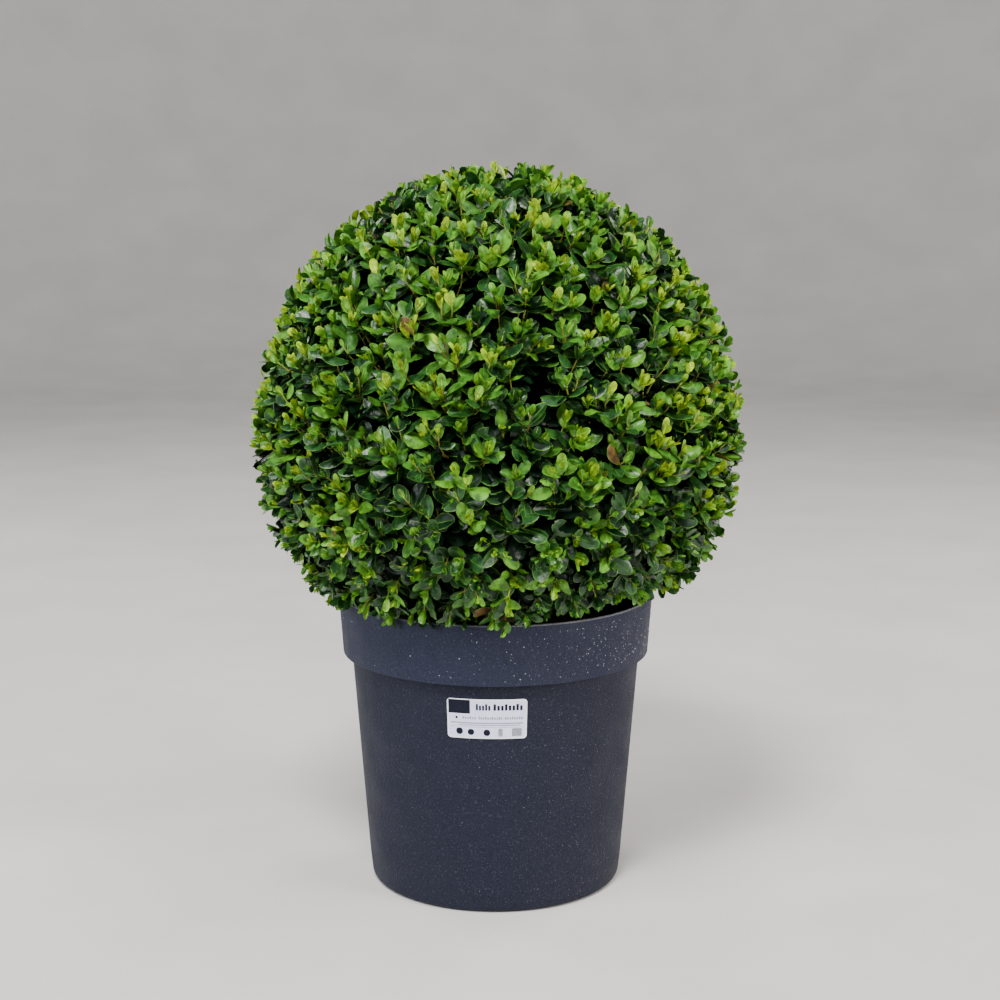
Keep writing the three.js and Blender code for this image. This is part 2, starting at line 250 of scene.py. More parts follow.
def arc(radius, height, size, start, stop, steps):
    angles = [math.radians(start + (stop - start) * i / steps) for i in range(steps + 1)]
    return [(radius + size * math.cos(a), height + size * math.sin(a)) for a in angles]


# %% The pot's materials
#         name, darkest, middle, palest specks, how strongly it shines
PLASTICS = [
    ("dark_pot_plastic", (0.0082, 0.0096, 0.0185), (0.0137, 0.0157, 0.0300), (0.048, 0.051, 0.074), 0.15),
    # The rim band is the body's plastic painted lighter: painted light on the band.
    ("rim_band_lit_plastic", (0.0116, 0.0138, 0.0285), (0.0188, 0.0218, 0.0440), (0.052, 0.057, 0.085), 0.17),
    # The lip's top is painted pale: a painted highlight along the rim's rounded edge.
    ("lip_highlight_plastic", (0.10, 0.102, 0.120), (0.175, 0.178, 0.205), (0.30, 0.304, 0.34), 0.30),
    # The strip just above the ledge is painted near black: painted shade under the band's overhang.
    ("ledge_shade_plastic", (0.004, 0.004, 0.006), (0.007, 0.007, 0.010), (0.016, 0.016, 0.022), 0.05)]
BODY, BAND, LIP, LEDGE = range(4)


def pot_finish(name, dark, middle, speck, specular):
    """Satin plastic: fine grain with pale specks in it, cloudy gloss and a skin like orange peel."""
    made = finish(name, middle, 0.6, Specular_IOR_Level=specular)
    vary(made, "Base Color", 850.0, 3.0, [(0.34, dark), (0.50, middle), (0.62, middle), (0.70, speck)])
    vary(made, "Roughness", 35.0, 5.0, [(0.3, (0.52,) * 3), (0.75, (0.70,) * 3)])
    fine_skin = bump(made, 750.0, 2.0, 0.0006, 0.9, (1.0, 1.0, 0.6))
    bump(made, 60.0, 3.0, 0.0008, 0.25, (1.0, 1.0, 0.35), fine_skin)
    return made


plastics = [pot_finish(*row) for row in PLASTICS]
print("plastics:", [plastic.name for plastic in plastics])

# %% The pot's shape
POT_STEPS = 192
DRAIN_HOLES = 6
DRAIN_RADIUS = 0.006
DRAIN_CIRCLE_RADIUS = 0.062


def turned(name, profile, steps, material):
    """Turns a closed profile of (radius, height) points about Z. Points on the axis are shared."""
    rings = []
    points = []
    for radius, height in profile:
        if radius < 1e-6:
            rings.append([len(points)] * steps)
            points.append((0.0, 0.0, height))
            continue
        rings.append(list(range(len(points), len(points) + steps)))
        angles = np.linspace(0.0, 2.0 * math.pi, steps, endpoint=False)
        points += [(radius * math.cos(a), radius * math.sin(a), height) for a in angles]
    faces = []
    for low, high in zip(rings, rings[1:]):
        for i in range(steps):
            j = (i + 1) % steps
            corners = (low[i], low[j], high[j], high[i])
            faces.append(tuple(dict.fromkeys(corners)))
    return mesh_object(name, points, faces, material)


# How far the lip's painted highlight reaches down from the top.
LIP_HIGHLIGHT_HEIGHT = 0.0011
# How high above the ledge its painted shade reaches.
LEDGE_SHADE_HEIGHT = 0.0006
lip = WALL / 2.0
wall_heights = np.linspace(0.02, LEDGE_Z - 0.004, 8)
pot_profile = [
    (0.0, 0.0), (DRAIN_CIRCLE_RADIUS, 0.0),
    *arc(FOOT_RADIUS - FOOT_ROUNDING, FOOT_ROUNDING, FOOT_ROUNDING, -90.0, -2.0, 8),
    *[(body_radius(z), z) for z in wall_heights],
    (BODY_TOP_RADIUS, LEDGE_Z),
    (BODY_TOP_RADIUS + 0.0004, LEDGE_Z + 0.0002),
    *arc(BAND_FOOT_RADIUS - 0.0012, LEDGE_Z + 0.0012, 0.0012, -88.0, 0.0, 5),
    (RIM_RADIUS - 0.0016, LEDGE_Z + BAND_HEIGHT / 2.0),
    *arc(RIM_RADIUS - lip, POT_HEIGHT - lip, lip, 0.0, 180.0, 10),
    (BAND_FOOT_RADIUS - WALL, LEDGE_Z + WALL + 0.001),
    (BODY_TOP_RADIUS - WALL, LEDGE_Z + WALL),
    (body_radius(FLOOR) - WALL, FLOOR),
    (0.0, FLOOR),
]
pot = turned("pot_shell", pot_profile, POT_STEPS, plastics[BODY])
print("pot profile corners:", len(pot_profile))

# %% [markdown]
# The drain holes are cut with a Boolean, as a drill would: six short rods are joined in one cutter
# and taken from the floor. The cutter is deleted once the modifier is applied.

# %% Drain holes
SHARP = math.radians(40.0)
cutter_mesh = bmesh.new()
for hole in range(DRAIN_HOLES):
    turn = 2.0 * math.pi * hole / DRAIN_HOLES
    spot = (DRAIN_CIRCLE_RADIUS * math.cos(turn), DRAIN_CIRCLE_RADIUS * math.sin(turn), 0.0)
    bmesh.ops.create_cone(cutter_mesh, cap_ends=True, segments=24, radius1=DRAIN_RADIUS,
                          radius2=DRAIN_RADIUS, depth=FLOOR * 4.0, matrix=Matrix.Translation(spot))
cutter = mesh_object("drain_cutter", [], [])
cutter_mesh.to_mesh(cutter.data)
cutter_mesh.free()
drill = pot.modifiers.new("drains", "BOOLEAN")
drill.operation = "DIFFERENCE"
drill.solver = "EXACT"
drill.object = cutter
apply_modifiers(pot)
bpy.data.objects.remove(cutter)
pot.data.set_sharp_from_angle(angle=SHARP)
for plastic in plastics[BAND:]:
    pot.data.materials.append(plastic)
# Outer faces above the ledge: the band takes its painted light, the lip top its painted highlight, and a thin
# strip just above the ledge painted shade.
for face in pot.data.polygons:
    middle = face.center
    if math.hypot(middle.x, middle.y) > body_radius(middle.z) - WALL / 3.0 and middle.z > LEDGE_Z:
        above_ledge_shade = LIP if middle.z > POT_HEIGHT - LIP_HIGHLIGHT_HEIGHT else BAND
        face.material_index = above_ledge_shade if middle.z > LEDGE_Z + LEDGE_SHADE_HEIGHT else LEDGE
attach(pot, "root")
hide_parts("pot")
print("pot faces:", len(pot.data.polygons))

# %% [markdown]
# ## Water beads on the pot
# The photographed pot is wet: tiny beads sit on it, closest together on the right of the rim band.
# Points scattered by hand would look even, so a Geometry Nodes tree scatters them on a copy of the
# pot's outer wall with a fixed seed, thinned by a weight on each corner, and sets a low dome on each.

# %% The wall that carries the beads
BEAD_STEPS = 96
BEADLESS = 0.0045
WETTEST_TURN = math.radians(-25.0)
DRIEST_SHARE = 0.06
BODY_WETNESS = 0.75
BODY_BEAD_SIZE = 0.46


def bead_weight(angle, z):
    """How closely the beads stand: most at the band's right, few at the left, none at the ledge."""
    if abs(z - LEDGE_Z) < BEADLESS:
        return 0.0
    right = 0.5 + 0.5 * math.cos(angle - WETTEST_TURN)
    wetness = 1.0 if z > LEDGE_Z else BODY_WETNESS
    return wetness * (DRIEST_SHARE + (1.0 - DRIEST_SHARE) * right ** 5)


carrier_profile = [(body_radius(z), z) for z in (*np.linspace(0.006, LEDGE_Z - 0.007, 8), LEDGE_Z - 0.004)]
carrier_profile += [(BAND_FOOT_RADIUS, LEDGE_Z + 0.003), (BAND_FOOT_RADIUS + 0.0003, LEDGE_Z + 0.006),
                    (RIM_RADIUS - 0.0002, POT_HEIGHT - 0.003)]
carrier = turned("bead_carrier", carrier_profile, BEAD_STEPS, None)
weights = carrier.data.attributes.new("closeness", "FLOAT", "POINT")
bead_sizes = carrier.data.attributes.new("bead_size", "FLOAT", "POINT")
for spot, vertex in enumerate(carrier.data.vertices):
    weights.data[spot].value = bead_weight(math.atan2(vertex.co.y, vertex.co.x), vertex.co.z)
    bead_sizes.data[spot].value = 1.0 if vertex.co.z > LEDGE_Z else BODY_BEAD_SIZE
print("corners that carry beads:", len(carrier.data.vertices))

# %% The tree that sets a bead on each point
BEAD_DOME = {"Radius": 1.0, "Segments": 5, "Rings": 3}
BEAD_FLATNESS = 0.55
FEW_LARGE_POWER = 2.4
bead_tree, given = new_tree("water_beads", [
    ("Per Square Metre", "Float"), ("Smallest", "Float"), ("Largest", "Float"), ("Seed", "Int")])
thinned = add_node(bead_tree, "ShaderNodeMath", {
    0: given["Per Square Metre"], 1: named(bead_tree, "closeness")}, operation="MULTIPLY")
scatter = add_node(bead_tree, "GeometryNodeDistributePointsOnFaces", {
    "Mesh": given["Geometry"], "Density": thinned, "Seed": given["Seed"]})
dome = add_node(bead_tree, "GeometryNodeMeshUVSphere", BEAD_DOME)
flat = add_node(bead_tree, "GeometryNodeTransform", {"Geometry": dome, "Scale": (1.0, 1.0, BEAD_FLATNESS)})
chance = add_node(bead_tree, "FunctionNodeRandomValue", {"Seed": given["Seed"]}).outputs[1]
few_large = add_node(bead_tree, "ShaderNodeMath", {0: chance, 1: FEW_LARGE_POWER}, operation="POWER")
sized = add_node(bead_tree, "ShaderNodeMapRange", {
    "Value": few_large, "To Min": given["Smallest"], "To Max": given["Largest"]})
by_place = add_node(bead_tree, "ShaderNodeMath", {
    0: sized, 1: named(bead_tree, "bead_size")}, operation="MULTIPLY")
place = add_node(bead_tree, "GeometryNodeInstanceOnPoints", {
    "Points": scatter, "Instance": flat, "Rotation": scatter.outputs["Rotation"], "Scale": by_place})
end_tree(bead_tree, given, place)

# %% Beads
# Bead colour is painted light: pale beads are painted highlights for the sky's reflections, near-black beads
# painted shade for their dark sides.
bead_painted_light = finish("water_bead", (0.10, 0.11, 0.13), 0.10, Specular_IOR_Level=1.0)
vary(bead_painted_light, "Base Color", 300.0, 3.0, [(0.46, (0.005, 0.005, 0.008)), (0.56, (0.40, 0.41, 0.45))])
beads = grown_mesh("water_beads", carrier, bead_tree, {
    "Per Square Metre": 185000.0, "Smallest": 0.00019, "Largest": 0.00064, "Seed": 4, "Material": bead_painted_light})
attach(beads, "root")
print("bead faces:", len(beads.data.polygons))

# %% [markdown]
# ## The label
# The real pot has a small white sticker. Here it holds only plain marks: a dark block, bars and
# dots, like a form with no words. The sticker is a thin sheet bent round the cone of the pot, with a
# raised edge all round, and each mark is a flat patch a hair above it, so its edge stays crisp.

# %% Bending a flat sheet round the pot
label_low, label_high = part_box("blank_label")
LABEL_MIDDLE_Z = (label_low.z + label_high.z) / 2.0
LABEL_HEIGHT = label_high.z - label_low.z
LABEL_WIDTH = 0.0603
LABEL_TURN = math.radians(-93.3)
LABEL_CORNER = 0.0026
LABEL_LIFT = 0.0003
LABEL_THICKNESS = 0.0005
STRIP_WIDTH = 0.002


def on_pot(across, up, out):
    """A point of the label: across and up from its middle, and out from the pot's wall."""
    z = LABEL_MIDDLE_Z + up
    angle = LABEL_TURN + across / body_radius(LABEL_MIDDLE_Z)
    radius = body_radius(z) + out
    return (radius * math.cos(angle), radius * math.sin(angle), z)


def patch(points, faces, width, height, centre, out, corner):
    """Adds a rectangle with round corners to the lists, as upright strips bent round the pot."""
    base = len(points)
    flat_half = width / 2.0 - corner
    straight = np.linspace(0.0, flat_half, max(2, int(width / STRIP_WIDTH)))
    rounding = [flat_half + corner * math.sin(math.radians(a)) for a in range(0, 91, 15)]
    stations = sorted({round(s, 7) for s in [*straight, *rounding]})
    for s in [-s for s in reversed(stations) if s > 0.0] + stations:
        inset = max(0.0, abs(s) - flat_half)
        reach = height / 2.0 - (corner - math.sqrt(max(corner ** 2 - inset ** 2, 0.0)))
        points.append(on_pot(centre[0] + s, centre[1] - reach, out))
        points.append(on_pot(centre[0] + s, centre[1] + reach, out))
    faces += [(a, a + 2, a + 3, a + 1) for a in range(base, len(points) - 2, 2)]


# %% The sticker
LABEL_BORDER = 0.0011


def paper_finish(name, low, high):
    made = finish(name, high, 0.32, Coat_Weight=0.3, Coat_Roughness=0.2)
    vary(made, "Base Color", 260.0, 4.0, [(0.3, low), (0.7, high)])
    return made


label_white = paper_finish("label_white", (0.86, 0.89, 1.0), (0.92, 0.94, 1.0))
label_lilac = paper_finish("label_lilac", (0.69, 0.70, 1.0), (0.79, 0.80, 1.0))
points, faces = [], []
patch(points, faces, LABEL_WIDTH, LABEL_HEIGHT, (0.0, 0.0), LABEL_LIFT + LABEL_THICKNESS, LABEL_CORNER)
label = mesh_object("pot_label", points, faces, label_white)
thick = label.modifiers.new("sheet", "SOLIDIFY")
thick.thickness = LABEL_THICKNESS
thick.offset = -1.0
apply_modifiers(label)
label.data.set_sharp_from_angle(angle=SHARP)
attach(label, "root")
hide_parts("blank_label")
print("label %.1f mm high" % (LABEL_HEIGHT * 1000))

# %% [markdown]
# The marks lie as on the photographed label, as shares of its size, but as plain patches. The middle
# is faintly lilac inside a white border. Dark ink makes the block, the dots and the heading, and grey
# ink the smaller rows and the thin lines.

# %% The plain marks
dark_ink = finish("dark_label_ink", (0.005, 0.006, 0.016), 0.6, Specular_IOR_Level=0.15)
grey_ink = finish("grey_label_ink", (0.26, 0.25, 0.33), 0.5)
for ink, low, high in ((dark_ink, (0.003, 0.004, 0.011), (0.008, 0.010, 0.024)),
                       (grey_ink, (0.20, 0.19, 0.26), (0.34, 0.33, 0.41))):
    vary(ink, "Base Color", 700.0, 3.0, [(0.35, low), (0.65, high)])
HAIR = 0.00004
FACE_LIFT = LABEL_LIFT + LABEL_THICKNESS + HAIR
MARK_LIFT = FACE_LIFT + HAIR
ROUNDEST = 0.49
#         across, up, width, height as shares of the label, and how round the corners are
FACE_MARKS = [(0.0, 0.0, 1.0 - 2.0 * LABEL_BORDER / LABEL_WIDTH, 1.0 - 2.0 * LABEL_BORDER / LABEL_HEIGHT,
               0.06)]
DARK_MARKS = [
    (-0.345, 0.305, 0.275, 0.35, 0.002), (-0.38, 0.025, 0.030, 0.065, 0.45),
    (-0.345, -0.32, 0.086, 0.17, 0.45), (-0.20, -0.335, 0.082, 0.155, 0.45),
    (0.0, -0.345, 0.082, 0.165, 0.45)]
GREY_MARKS = [
    (0.0, -0.105, 0.91, 0.030, 0.1), (0.03, -0.155, 0.78, 0.022, 0.1), (0.0, -0.205, 0.91, 0.009, 0.1),
    (0.17, -0.34, 0.055, 0.20, 0.1), (0.375, -0.335, 0.125, 0.20, 0.1)]

def row_of_bars(start, stop, up, height, bars):
    """Short upright bars in a row, where the real label has a printed word."""
    step = (stop - start) / bars
    return [(start + step * (i + 0.5), up + 0.15 * height * (i % 3 == 0), 0.66 * step,
             height * (1.3 if i % 3 == 0 else 1.0), 0.1) for i in range(bars)]


DARK_MARKS += row_of_bars(-0.14, 0.05, 0.285, 0.125, 5) + row_of_bars(0.075, 0.45, 0.285, 0.125, 8)
for start, stop, bars in ((-0.31, -0.13, 6), (-0.11, 0.20, 11), (0.22, 0.45, 8)):
    GREY_MARKS += row_of_bars(start, stop, 0.02, 0.055, bars)


def label_marks(name, marks, ink, lift):
    points, faces = [], []
    for across, up, width, height, roundness in marks:
        size = (width * LABEL_WIDTH, height * LABEL_HEIGHT)
        corner = min(size) * min(roundness, ROUNDEST)
        patch(points, faces, *size, (across * LABEL_WIDTH, up * LABEL_HEIGHT), lift, corner)
    piece = mesh_object(name, points, faces, ink)
    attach(piece, "root")


label_marks("label_face", FACE_MARKS, label_lilac, FACE_LIFT)
label_marks("label_dark_marks", DARK_MARKS, dark_ink, MARK_LIFT)
label_marks("label_grey_marks", GREY_MARKS, grey_ink, MARK_LIFT)
print("marks:", len(DARK_MARKS) + len(GREY_MARKS))

# %% [markdown]
# ## The growth rule
# A clipped box ball is all twigs: a short stem forks to boughs, these to branches, these to twigs,
# and each twig ends in short leafy shoots at the clipped surface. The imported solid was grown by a
# seeded rule, written again here with the same numbers, and one finer level of shoots is added.

# %% Seeded draws and even directions
SEED = 20
BALL_CENTRE = np.array([0.002, 0.0, 0.363])
BALL_HALF = np.array([0.1905, 0.1905, 0.2066])
BALL_DROP = 0.1945
UNDERSIDE_Z = 0.244
FORK_Z = 0.285
STEM_LEAN = 0.002


def seeded_draw(seed):
    """Draws from 0 to 1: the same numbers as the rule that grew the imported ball."""
    state = seed & 0xFFFFFFFF

    def draw():
        nonlocal state
        state = (state + 0x6D2B79F5) & 0xFFFFFFFF
        mixed = ((state ^ (state >> 15)) * (state | 1)) & 0xFFFFFFFF
        mixed ^= (mixed + (((mixed ^ (mixed >> 7)) * (mixed | 61)) & 0xFFFFFFFF)) & 0xFFFFFFFF
        return ((mixed ^ (mixed >> 14)) & 0xFFFFFFFF) / 2 ** 32

    return draw


def even_directions(count):
    i = np.arange(count)
    z = 1.0 - (2.0 * i + 1.0) / count
    ring = np.sqrt(1.0 - z * z)
    golden = math.pi * (3.0 - math.sqrt(5.0))
    return np.stack([ring * np.cos(i * golden), ring * np.sin(i * golden), z], axis=1)


def unit(v):
    return v / np.maximum(np.linalg.norm(v, axis=-1, keepdims=True), 1e-9)


def half_sizes(away):
    """The ball's half sizes for each direction: it drops less than it rises."""
    return np.where((away[:, 2:] <= 0.0) & (np.arange(3) == 2), BALL_DROP, BALL_HALF)


def on_ball(directions, share):
    """Points of the ball's outline, or of a smaller one inside it."""
    return BALL_CENTRE + directions * half_sizes(directions) * np.reshape(share, (-1, 1))


def share_of_ball(points):
    away = points - BALL_CENTRE
    return np.linalg.norm(away / half_sizes(away), axis=1)


# %% Boughs, branches and twigs
JITTER = 0.22


def grow_level(count, reach, parents, draw):
    """Limbs that grow from the nearest tip of the level before to places spread evenly."""
    spread = (4.0 / math.sqrt(count)) * JITTER
    jitter = np.array([[draw() - 0.5 for _ in range(3)] for _ in range(count)]) * spread
    tips = on_ball(unit(even_directions(count) + jitter), reach)
    tips[:, 2] = np.maximum(tips[:, 2], UNDERSIDE_Z + 0.005)
    nearest = np.argmin(np.linalg.norm(tips[:, None] - parents[None], axis=2), axis=1)
    return parents[nearest], tips


draw = seeded_draw(SEED)
fork = np.array([[STEM_LEAN, 0.0, FORK_Z]])
bough_roots, bough_tips = grow_level(9, 0.42, fork, draw)
branch_roots, branch_tips = grow_level(40, 0.66, bough_tips, draw)
twig_roots, twig_tips = grow_level(132, 0.895, branch_tips, draw)
print("boughs, branches, twigs:", len(bough_tips), len(branch_tips), len(twig_tips))

# %% [markdown]
# The finest level is what one sees: shoots as long as a finger joint that turn up towards the light
# near the end. After each clipping two or three sprout from below the cut, so they stand in sprays
# with dark gaps between. Clipping evens out their tips, and none of them touches the pot's rim.

# %% How low the foliage may hang
RIM_CLEARANCE = 0.0025
INSIDE_RIM = 0.004
OVERHANG = 0.8  # in rim clearances, and so is the next
OVERHANG_AT_LEFT = 3.6
LEFT_STARTS = 0.45
GAP_AT_RIGHT = 0.012
GAP_STARTS_X = 0.03
GAP_RAMP = 0.06


def lowest_z(points):
    """Clear of the rim over it, higher inside it at the right, and a little lower outside it."""
    radius = np.hypot(points[:, 0], points[:, 1])
    over_rim = (radius > RIM_RADIUS - WALL - INSIDE_RIM) & (radius < RIM_RADIUS + RIM_CLEARANCE)
    to_left = np.clip(LEFT_STARTS - points[:, 0] / np.maximum(radius, RIM_RADIUS), 0.0, 0.6)
    overhang = RIM_CLEARANCE * (OVERHANG + OVERHANG_AT_LEFT * to_left)
    right_gap = GAP_AT_RIGHT * np.clip((points[:, 0] - GAP_STARTS_X) / GAP_RAMP, 0.0, 1.0)
    past = POT_HEIGHT + np.where(radius < RIM_RADIUS, right_gap, -overhang)
    return np.where(over_rim, POT_HEIGHT + RIM_CLEARANCE, past)


print("foliage over the rim stays above %.0f mm" % ((POT_HEIGHT + RIM_CLEARANCE) * 1000))

# %% Shoots at the clipped surface
SHOOT_COUNT = 1840
SHOOT_LOOSENESS = 0.84
SPRAY_COUNT = 620
SPRAY_LOOSENESS = 0.8
GATHER = 0.38
FAN = 2.2
AXIS_LOOSENESS = 0.18
SHOOT_REACH = 0.962
REACH_SPREAD = 0.060
WAIST_REACH = 0.018
WAIST_Z = -0.3
WAIST_WIDTH = 0.35
SHOOT_STRAIGHT = 0.030
RIM_HANG = 0.010
HANG_RADIUS = 0.1
HANG_RAMP = 0.05
LOW_TIP_SPREAD = 0.012
HIDDEN_RADIUS = 0.075
LEAFY_FROM = 0.55
#         how far up the ball a shoot stands, how much it turns up
LIFT = [(-0.7, -0.45), (-0.5, -0.05), (-0.15, 0.85), (0.2, 1.05), (0.6, 0.70), (1.0, 0.1)]
rng = np.random.default_rng(SEED)


def fuller_below(z):
    """How much further the ball reaches a little below its middle, as a share."""
    return WAIST_REACH * np.exp(-((z - WAIST_Z) / WAIST_WIDTH) ** 2)


def loose_directions(count, looseness):
    return unit(even_directions(count) + rng.normal(0.0, looseness / math.sqrt(count), (count, 3)))


def shoot_tips_and_axes(count):
    """Where the shoots end, which way they point, and the spray that each belongs to."""
    directions = loose_directions(count, SHOOT_LOOSENESS)
    sprays = loose_directions(SPRAY_COUNT, SPRAY_LOOSENESS)
    spray = np.argmax(directions @ sprays.T, axis=1)
    apart = directions - sprays[spray]
    directions = unit(directions - apart * GATHER)
    share = SHOOT_REACH + REACH_SPREAD * (rng.random(count) - 0.5)
    tips = on_ball(directions, share + fuller_below(directions[:, 2]))
    hanging = RIM_HANG * (np.hypot(tips[:, 0], tips[:, 1]) > HANG_RADIUS)
    hanging = hanging * np.clip(1.0 - tips[:, 0] / HANG_RAMP, 0.0, 1.0)
    tips[:, 2] = np.maximum(tips[:, 2], UNDERSIDE_Z - hanging + LOW_TIP_SPREAD * rng.random(count))
    outward = unit(tips - BALL_CENTRE)
    axes = outward + apart * FAN + rng.normal(0.0, AXIS_LOOSENESS, (count, 3))
    axes[:, 2] += np.interp(outward[:, 2], *zip(*LIFT))
    keep = np.hypot(tips[:, 0], tips[:, 1]) > HIDDEN_RADIUS * (tips[:, 2] < BALL_CENTRE[2])
    return tips[keep], unit(axes)[keep], spray[keep]


shoot_tips, shoot_axes, shoot_spray = shoot_tips_and_axes(SHOOT_COUNT)
shoot_bends = shoot_tips - shoot_axes * SHOOT_STRAIGHT
leafy_from = twig_roots + (twig_tips - twig_roots) * LEAFY_FROM
nearest = np.argmin(np.linalg.norm(shoot_bends[:, None] - twig_tips[None], axis=2), axis=1)
up_twig = rng.uniform(0.2, 1.0, len(shoot_tips))[:, None]
shoot_roots = leafy_from[nearest] * (1.0 - up_twig) + twig_tips[nearest] * up_twig
print("shoots:", len(shoot_tips))

# %% [markdown]
# ## Stem and boughs
# An old box stem is pale brown, ridged lengthwise and a little flared where it enters the soil. A
# smooth tube would look like a pipe, so the trunk and its boughs are swept one by one in rings, and
# noise that is stretched along the limb pushes each ring in and out as bark does.

# %% Bark
bark = finish("box_bark", (0.21, 0.15, 0.08), 0.78)
vary(bark, "Base Color", 220.0, 6.0, [
    (0.3, (0.07, 0.045, 0.022)), (0.55, (0.22, 0.15, 0.08)), (0.8, (0.36, 0.28, 0.17))], (1.0, 1.0, 0.25))
bump(bark, 500.0, 5.0, 0.0012, 0.8, (1.0, 1.0, 0.2))
young_bark = finish("shoot_bark", (0.22, 0.22, 0.04), 0.6)
vary(young_bark, "Base Color", 45.0, 2.0, [
    (0.30, (0.17, 0.085, 0.018)), (0.42, (0.23, 0.20, 0.028)), (0.56, (0.31, 0.37, 0.045))])
bump(young_bark, 900.0, 3.0, 0.0003, 0.5)
print("barks:", bark.name, young_bark.name)

# %% Trunk and boughs with the bark's relief
TRUNK_FOOT_Z = 0.2103
TRUNK_FOOT_RADIUS = 0.017
TRUNK_TIP_Z = 0.238
TRUNK_TIP_RADIUS = 0.009
TRUNK_STEPS = 40
TRUNK_SIDES = 48
FLARE_FADE = -5.0
NARROWING = 0.0009
BOUGH_RADII = (0.0062, 0.0036)
BOUGH_SAG = -0.012
BOUGH_STEPS = 16
BOUGH_SIDES = 16
BARK_RELIEF = 0.0011
BOUGH_RELIEF = BARK_RELIEF * 0.7
RIDGES = (260.0, 260.0, 55.0)


def limb(points, faces, path, radii, sides, relief):
    """Adds a closed limb to the lists: rings round a path, pushed in and out by bark noise."""
    base = len(points)
    path = [Vector(p) for p in path]
    for i, (spot, radius) in enumerate(zip(path, radii)):
        ahead = path[min(i + 1, len(path) - 1)] - path[max(i - 1, 0)]
        turn = ahead.to_track_quat("Z", "X")
        for side in range(sides):
            angle = 2.0 * math.pi * side / sides
            out = turn @ Vector((math.cos(angle), math.sin(angle), 0.0))
            where = spot + out * radius
            rough = noise.fractal(Vector([a * b for a, b in zip(where, RIDGES)]), 0.9, 2.0, 3)
            points.append(where + out * relief * rough)
    for i in range(len(path) - 1):
        for side in range(sides):
            a, b = base + i * sides + side, base + i * sides + (side + 1) % sides
            faces.append((a, b, b + sides, a + sides))
    faces.append(tuple(base + side for side in reversed(range(sides))))
    faces.append(tuple(base + (len(path) - 1) * sides + side for side in range(sides)))


def bent_paths(roots, bends, tips, steps):
    """Curves from roots to tips that start towards the bends: limbs x steps x 3."""
    t = np.linspace(0.0, 1.0, steps)[None, :, None]
    return (1 - t) ** 2 * roots[:, None] + 2 * t * (1 - t) * bends[:, None] + t ** 2 * tips[:, None]


def sagging(roots, tips, sag):
    """The middles of limbs, moved up by sag."""
    return roots * 0.5 + tips * 0.5 + np.array([0.0, 0.0, sag])


points, faces = [], []
trunk_z = TRUNK_FOOT_Z + (FORK_Z - TRUNK_FOOT_Z) * np.linspace(0.0, 1.0, TRUNK_STEPS)
to_tip = np.clip((trunk_z - TRUNK_FOOT_Z) / (TRUNK_TIP_Z - TRUNK_FOOT_Z), 0.0, 2.7)
flare = (TRUNK_FOOT_RADIUS - TRUNK_TIP_RADIUS) * np.exp(FLARE_FADE * to_tip)
trunk_radii = TRUNK_TIP_RADIUS - NARROWING * to_tip + flare
trunk_path = np.stack([STEM_LEAN * np.clip(to_tip, 0, 1), np.zeros(TRUNK_STEPS), trunk_z], axis=1)
limb(points, faces, trunk_path, trunk_radii, TRUNK_SIDES, BARK_RELIEF)
bough_bends = sagging(bough_roots, bough_tips, BOUGH_SAG)
for path in bent_paths(bough_roots, bough_bends, bough_tips, BOUGH_STEPS):
    limb(points, faces, path, np.linspace(*BOUGH_RADII, BOUGH_STEPS), BOUGH_SIDES, BOUGH_RELIEF)
trunk = mesh_object("trunk_and_boughs", points, faces, bark)
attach(trunk, "root")
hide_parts("main_stem")
print("trunk and boughs faces:", len(faces))

# %% [markdown]
# ## Branches, twigs and shoots
# These are too many to sweep by hand. The script only lays out their paths as edges, with the
# thickness stored on each point, and one tree turns all of them into tubes with closed ends.

# %% The tree that turns paths into limbs
tube_tree, given = new_tree("tubes_on_paths", [("Sides", "Int")])
as_curve = add_node(tube_tree, "GeometryNodeMeshToCurve", {"Mesh": given["Geometry"]})
ring = add_node(tube_tree, "GeometryNodeCurvePrimitiveCircle", {"Radius": 1.0, "Resolution": given["Sides"]})
sweep = add_node(tube_tree, "GeometryNodeCurveToMesh", {
    "Curve": as_curve, "Profile Curve": ring, "Fill Caps": True, "Scale": named(tube_tree, "thickness")})
end_tree(tube_tree, given, sweep)


def tubes(name, paths, radii, sides, material):
    """One piece of limbs. paths: limbs x steps x 3. radii: at the root and at the tip."""
    limbs, steps = paths.shape[:2]
    edges = [(i, i + 1) for i in range(limbs * steps) if (i + 1) % steps]
    holder = mesh_object(name + "_paths", paths.reshape(-1, 3), [], edges=edges)
    thickness = np.tile(np.linspace(*radii, steps), limbs)
    holder.data.attributes.new("thickness", "FLOAT", "POINT").data.foreach_set("value", thickness)
    made = grown_mesh(name, holder, tube_tree, {"Sides": sides, "Material": material})
    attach(made, "root")
    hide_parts("foliage_ball")
    print(name, "faces:", len(made.data.polygons))


# %% Branches, twigs and shoots as tubes
for name, roots, tips, sag, steps, radii, sides in (
        ("branches", branch_roots, branch_tips, -0.006, 8, (0.0036, 0.0022), 8),
        ("twigs", twig_roots, twig_tips, -0.004, 7, (0.0022, 0.0013), 6)):
    tubes(name, bent_paths(roots, sagging(roots, tips, sag), tips, steps), radii, sides, bark)
shoot_paths = bent_paths(shoot_roots, shoot_bends, shoot_tips, 6)
tubes("shoots", shoot_paths, (0.00095, 0.00045), 5, young_bark)

# %% [markdown]
# ## Leaves
# A box leaf is a small egg shape, widest past its middle, with a blunt or notched end. Grown leaves
# fold a little up or arch down and shine, and the youngest are narrow and folded more. Each is cut
# in its own outline from a few faces, and each copy is stretched and turned a little differently.

